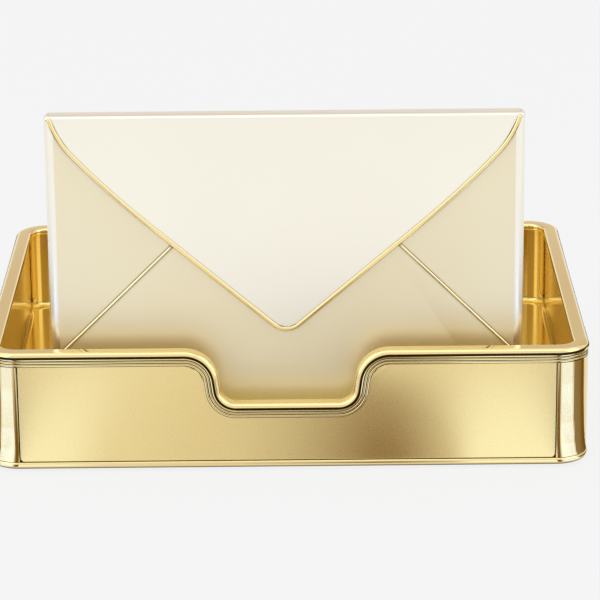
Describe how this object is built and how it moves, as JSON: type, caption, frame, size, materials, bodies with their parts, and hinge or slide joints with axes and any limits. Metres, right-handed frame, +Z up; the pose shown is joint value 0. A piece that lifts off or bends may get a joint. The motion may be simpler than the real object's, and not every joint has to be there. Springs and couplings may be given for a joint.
{
  "type": "letter tray with envelope holder",
  "caption": "Open letter tray with rounded corners, a beaded rim and a finger notch, and an upright envelope-shaped letter holder with a hinged pointed flap.",
  "frame": {"origin": "centre of the tray's footprint, on the surface that its feet stand on", "axes": "+X to the right along the tray's width seen from the notched front, +Y to the back, +Z up"},
  "size_m": [0.293, 0.218, 0.174],
  "materials": {
    "polished_gold": "polished, clear lacquered",
    "satin_gold": "fine satin, clear lacquered",
    "lining_gold": "polished sheet",
    "champagne": "bead-blasted, champagne anodised",
    "piping_gold": "polished",
    "plate_gold": "satin, gold anodised",
    "screw_steel": "zinc plated",
    "foot_rubber": "moulded matt"
  },
  "bodies": {
    "tray": {"top_rim": "polished_gold", "bottom_rail": "polished_gold", "front_panel": "satin_gold", "back_panel": "satin_gold", "left_panel": "satin_gold", "right_panel": "satin_gold", "corner_post_back_right": "polished_gold", "corner_post_back_left": "polished_gold", "corner_post_front_left": "polished_gold", "corner_post_front_right": "polished_gold", "tray_lining": "lining_gold", "base_plate": "plate_gold", "floor_spacers": "screw_steel", "base_screws": "screw_steel", "post_screws": "screw_steel", "rim_studs": "screw_steel", "foot_front_left": "foot_rubber", "foot_front_right": "foot_rubber", "foot_back_left": "foot_rubber", "foot_back_right": "foot_rubber", "envelope_channel": "lining_gold", "channel_rivets": "screw_steel"},
    "envelope": {"envelope_frame": "champagne", "envelope_back": "champagne", "left_side_flap": "champagne", "right_side_flap": "champagne", "bottom_flap": "champagne", "left_seam_bead": "piping_gold", "right_seam_bead": "piping_gold", "hinge_pin": "screw_steel"},
    "flap": {"flap_panel": "champagne", "flap_piping": "piping_gold"}
  },
  "joints": [
    {"name": "envelope_lift", "type": "slide", "parent": "tray", "child": "envelope", "axis": [0, 0, 1], "range_m": [0, 0.07]},
    {"name": "flap_hinge", "type": "hinge", "parent": "envelope", "child": "flap", "pos_m": [0, -0.0836, 0.1717], "axis": [-1, 0, 0], "range_deg": [0, 185]}
  ]
}
